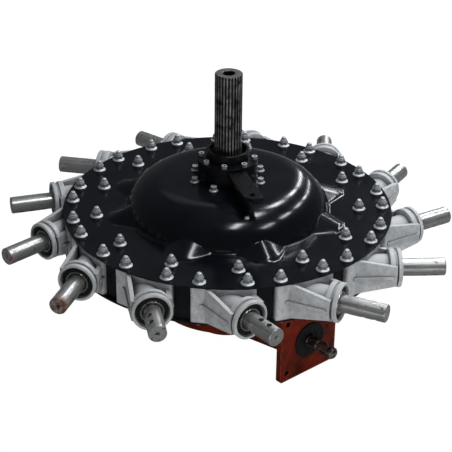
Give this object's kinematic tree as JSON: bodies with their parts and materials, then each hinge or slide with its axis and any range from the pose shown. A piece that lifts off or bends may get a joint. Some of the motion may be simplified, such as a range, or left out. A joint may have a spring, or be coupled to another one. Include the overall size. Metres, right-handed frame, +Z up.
{
  "type": "gearbox",
  "caption": "Rotor-head gearbox with a red bevel box, black domed drum, skewed oscillating arm shafts in cast carriers and a fixed splined mast",
  "frame": {"origin": "middle of the housing's flat base face, on the mast axis", "axes": "+Z up the mast, +X along the input shaft out of the input flange"},
  "size_m": [1.3254, 1.3272, 0.814],
  "materials": {
    "red_paint": "oxide red, thin and worn at edges",
    "black_paint": "gloss black powder coat",
    "satin_black": "satin black",
    "cast_aluminium": "blasted casting, matt",
    "bright_steel": "ground bar with light oil and rust marks",
    "dark_steel": "phosphated, lighter on the ridges",
    "oily_steel": "dark oily steel with bright edges",
    "gear_steel": "machined, oiled",
    "bearing_steel": "ground races, dark shields",
    "zinc": "dull zinc plate",
    "black_cap": "dark seal cap",
    "rubber": "seal rubber"
  },
  "bodies": {
    "housing": {"gearbox_housing": "red_paint", "drain_plug": "zinc", "mast": "dark_steel", "rim_seal": "rubber", "input_seal_cap": "black_cap", "input_bearings": "bearing_steel"},
    "rotor": {"crown_gear": "gear_steel", "rotor_hub": "gear_steel", "rotor_bearings": "bearing_steel", "rotor_pan": "black_paint", "rotor_cover": "black_paint", "top_hub": "satin_black", "hub_bolts": "zinc", "flange_nuts": "zinc", "carrier_bolts": "zinc", "arm_bearings": "bearing_steel", "arm_carrier_01": "cast_aluminium", "arm_carrier_02": "cast_aluminium", "arm_carrier_03": "cast_aluminium", "arm_carrier_04": "cast_aluminium", "arm_carrier_05": "cast_aluminium", "arm_carrier_06": "cast_aluminium", "arm_carrier_07": "cast_aluminium", "arm_carrier_08": "cast_aluminium", "arm_carrier_09": "cast_aluminium", "arm_carrier_10": "cast_aluminium", "arm_carrier_11": "cast_aluminium", "arm_carrier_12": "cast_aluminium", "arm_carrier_13": "cast_aluminium"},
    "input": {"pinion_shaft": "oily_steel"},
    "adjuster": {"cam_drum": "gear_steel", "adjuster_lever": "satin_black", "adjuster_collar": "satin_black", "collar_screws": "zinc"},
    "tine_01": {"tine_shaft_01": "bright_steel", "control_crank_01": "gear_steel"},
    "tine_02": {"tine_shaft_02": "bright_steel", "control_crank_02": "gear_steel"},
    "tine_03": {"tine_shaft_03": "bright_steel", "control_crank_03": "gear_steel"},
    "tine_04": {"tine_shaft_04": "bright_steel", "control_crank_04": "gear_steel"},
    "tine_05": {"tine_shaft_05": "bright_steel", "control_crank_05": "gear_steel"},
    "tine_06": {"tine_shaft_06": "bright_steel", "control_crank_06": "gear_steel"},
    "tine_07": {"tine_shaft_07": "bright_steel", "control_crank_07": "gear_steel"},
    "tine_08": {"tine_shaft_08": "bright_steel", "control_crank_08": "gear_steel"},
    "tine_09": {"tine_shaft_09": "bright_steel", "control_crank_09": "gear_steel"},
    "tine_10": {"tine_shaft_10": "bright_steel", "control_crank_10": "gear_steel"},
    "tine_11": {"tine_shaft_11": "bright_steel", "control_crank_11": "gear_steel"},
    "tine_12": {"tine_shaft_12": "bright_steel", "control_crank_12": "gear_steel"},
    "tine_13": {"tine_shaft_13": "bright_steel", "control_crank_13": "gear_steel"}
  },
  "joints": [
    {"name": "rotor_spin", "type": "hinge", "parent": "housing", "child": "rotor", "pos_m": [0, 0, 0.334], "axis": [0, 0, 1], "continuous": true},
    {"name": "input_spin", "type": "hinge", "parent": "housing", "child": "input", "pos_m": [0.2, 0, 0.102], "axis": [1, 0, 0], "continuous": true},
    {"name": "cam_adjust", "type": "hinge", "parent": "housing", "child": "adjuster", "pos_m": [0, 0, 0.5335], "axis": [0, 0, 1], "range_deg": [-12, 12]},
    {"name": "tine_turn_01", "type": "hinge", "parent": "rotor", "child": "tine_01", "pos_m": [-0.2636, -0.31762, 0.334], "axis": [0.0644, -0.9979, 0], "range_deg": [-87.98, 0.02]},
    {"name": "tine_turn_02", "type": "hinge", "parent": "rotor", "child": "tine_02", "pos_m": [-0.0858, -0.40374, 0.334], "axis": [0.5207, -0.8537, 0], "range_deg": [-86.66, 1.34]},
    {"name": "tine_turn_03", "type": "hinge", "parent": "rotor", "child": "tine_03", "pos_m": [0.11165, -0.39737, 0.334], "axis": [0.8578, -0.5139, 0], "range_deg": [-78.49, 9.51]},
    {"name": "tine_turn_04", "type": "hinge", "parent": "rotor", "child": "tine_04", "pos_m": [0.28353, -0.29997, 0.334], "axis": [0.9984, -0.0564, 0], "range_deg": [-46.94, 41.06]},
    {"name": "tine_turn_05", "type": "hinge", "parent": "rotor", "child": "tine_05", "pos_m": [0.39046, -0.13384, 0.334], "axis": [0.9103, 0.414, 0], "range_deg": [-12.05, 75.95]},
    {"name": "tine_turn_06", "type": "hinge", "parent": "rotor", "child": "tine_06", "pos_m": [0.40793, 0.06294, 0.334], "axis": [0.6136, 0.7896, 0], "range_deg": [-1.8, 86.2]},
    {"name": "tine_turn_07", "type": "hinge", "parent": "rotor", "child": "tine_07", "pos_m": [0.33196, 0.24531, 0.334], "axis": [0.1763, 0.9843, 0], "range_deg": [-0.07, 87.93]},
    {"name": "tine_turn_08", "type": "hinge", "parent": "rotor", "child": "tine_08", "pos_m": [0.17993, 0.37148, 0.334], "axis": [-0.3013, 0.9535, 0], "range_deg": [-0.36, 87.64]},
    {"name": "tine_turn_09", "type": "hinge", "parent": "rotor", "child": "tine_09", "pos_m": [-0.01331, 0.41255, 0.334], "axis": [-0.7099, 0.7043, 0], "range_deg": [-3.76, 84.24]},
    {"name": "tine_turn_10", "type": "hinge", "parent": "rotor", "child": "tine_10", "pos_m": [-0.20351, 0.35911, 0.334], "axis": [-0.9559, 0.2937, 0], "range_deg": [-21.63, 66.37]},
    {"name": "tine_turn_11", "type": "hinge", "parent": "rotor", "child": "tine_11", "pos_m": [-0.34708, 0.2234, 0.334], "axis": [-0.9829, -0.1842, 0], "range_deg": [-61.69, 26.31]},
    {"name": "tine_turn_12", "type": "hinge", "parent": "rotor", "child": "tine_12", "pos_m": [-0.41114, 0.03651, 0.334], "axis": [-0.7847, -0.6199, 0], "range_deg": [-83.12, 4.88]},
    {"name": "tine_turn_13", "type": "hinge", "parent": "rotor", "child": "tine_13", "pos_m": [-0.38102, -0.15874, 0.334], "axis": [-0.4068, -0.9135, 0], "range_deg": [-87.46, 0.54]}
  ],
  "couplings": [
    {"joint": "input_spin", "follows": "rotor_spin", "ratio": -6}
  ]
}
